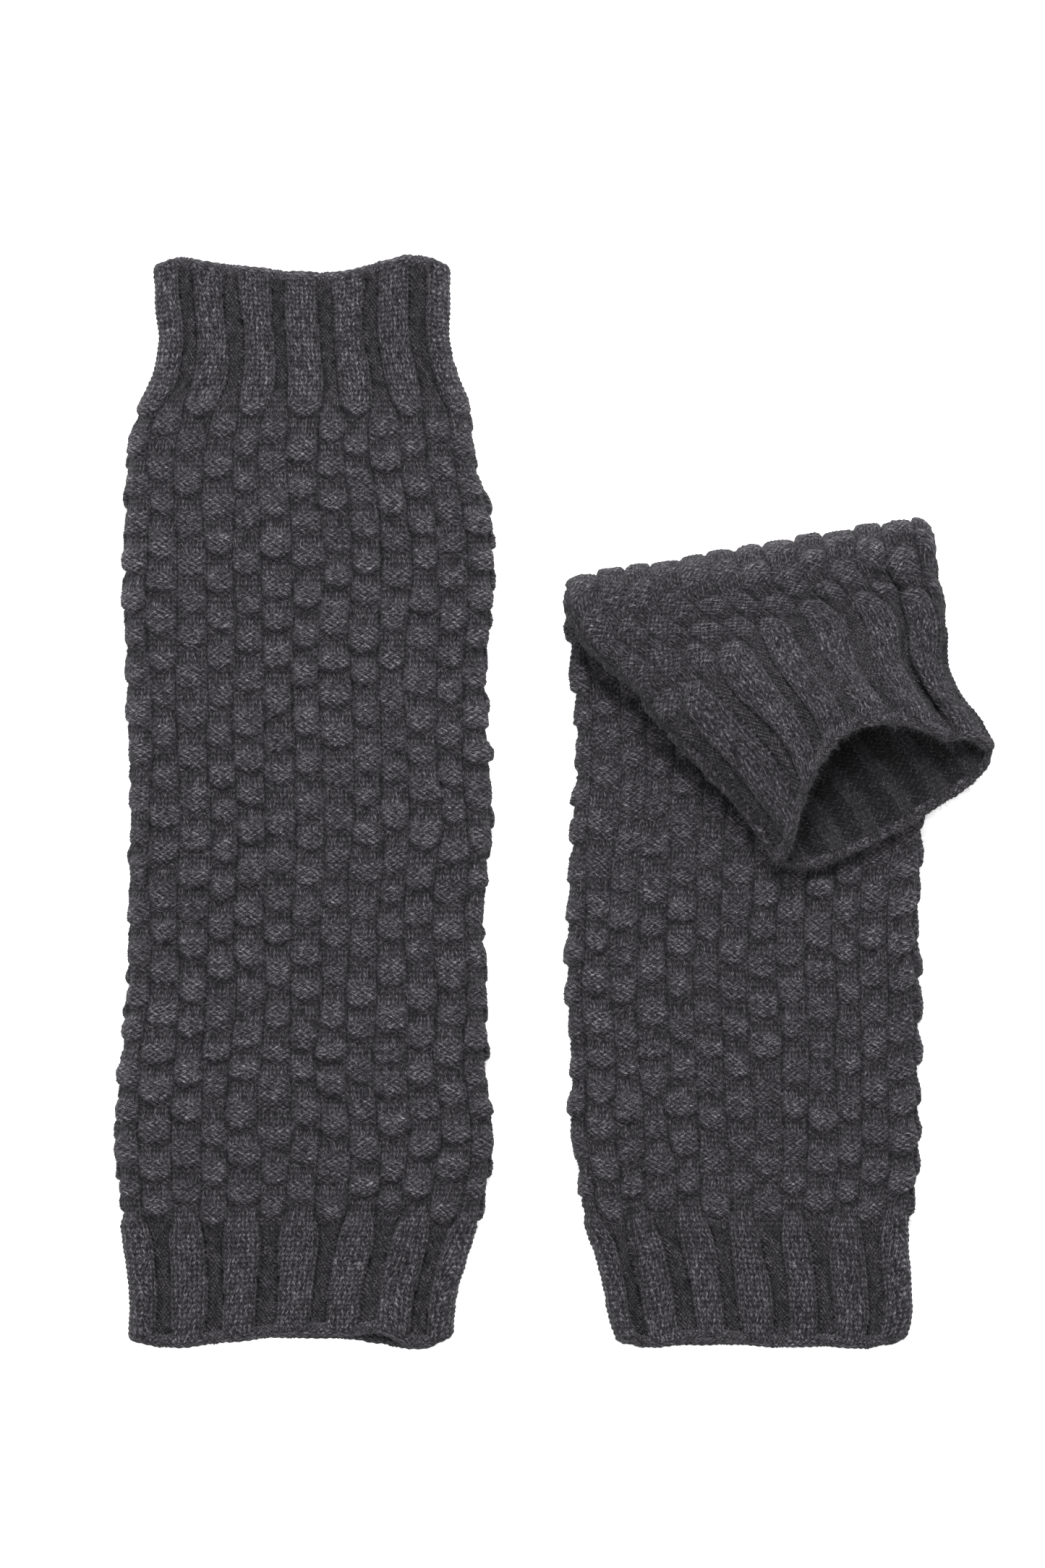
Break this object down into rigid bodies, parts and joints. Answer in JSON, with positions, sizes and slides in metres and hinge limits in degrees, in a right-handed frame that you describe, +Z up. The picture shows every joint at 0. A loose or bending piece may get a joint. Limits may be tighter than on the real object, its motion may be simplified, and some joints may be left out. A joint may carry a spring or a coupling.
{
  "type": "fingerless gloves",
  "caption": "Pair of long charcoal wool knitted fingerless gloves: bobble-knit tubes with ribbed cuffs, one lying flat and one folded over itself with its hand mouth open.",
  "frame": {"origin": "bottom centre of the pair's box, on the surface the gloves lie on", "axes": "+Z up off the surface, +Y from the arm ends to the hand ends, +X towards the folded right glove"},
  "size_m": [0.2444, 0.302, 0.0342],
  "materials": {
    "bobble_knit": "fuzzy charcoal wool knit in staggered bobbles",
    "ribbed_knit": "fuzzy charcoal wool rib, wide knit ribs with narrow purl grooves",
    "rolled_hem": "rolled cast-on edge in charcoal wool",
    "linking_yarn": "charcoal linking yarn"
  },
  "bodies": {
    "left_sleeve": {"left_lower_sleeve": "bobble_knit", "left_arm_cuff": "ribbed_knit", "left_arm_hem": "rolled_hem", "left_arm_seam": "linking_yarn"},
    "left_flap": {"left_upper_sleeve": "bobble_knit", "left_hand_cuff": "ribbed_knit", "left_hand_hem": "rolled_hem", "left_hand_seam": "linking_yarn"},
    "right_sleeve": {"right_lower_sleeve": "bobble_knit", "right_arm_cuff": "ribbed_knit", "right_arm_hem": "rolled_hem", "right_arm_seam": "linking_yarn"},
    "right_flap": {"right_upper_sleeve": "bobble_knit", "right_hand_cuff": "ribbed_knit", "right_hand_hem": "rolled_hem", "right_hand_seam": "linking_yarn"}
  },
  "joints": [
    {"name": "left_fold", "type": "hinge", "parent": "left_sleeve", "child": "left_flap", "pos_m": [-0.0692, 0.069, 0.0138], "axis": [1, 0, 0], "range_deg": [0, 172]},
    {"name": "right_lift", "type": "slide", "parent": "left_sleeve", "child": "right_sleeve", "axis": [0, 0, 1], "range_m": [0, 0.2]},
    {"name": "right_fold", "type": "hinge", "parent": "right_sleeve", "child": "right_flap", "pos_m": [0.05247, 0.0641, 0.01055], "axis": [-0.986, -0.1668, 0], "range_deg": [0, 160]}
  ]
}
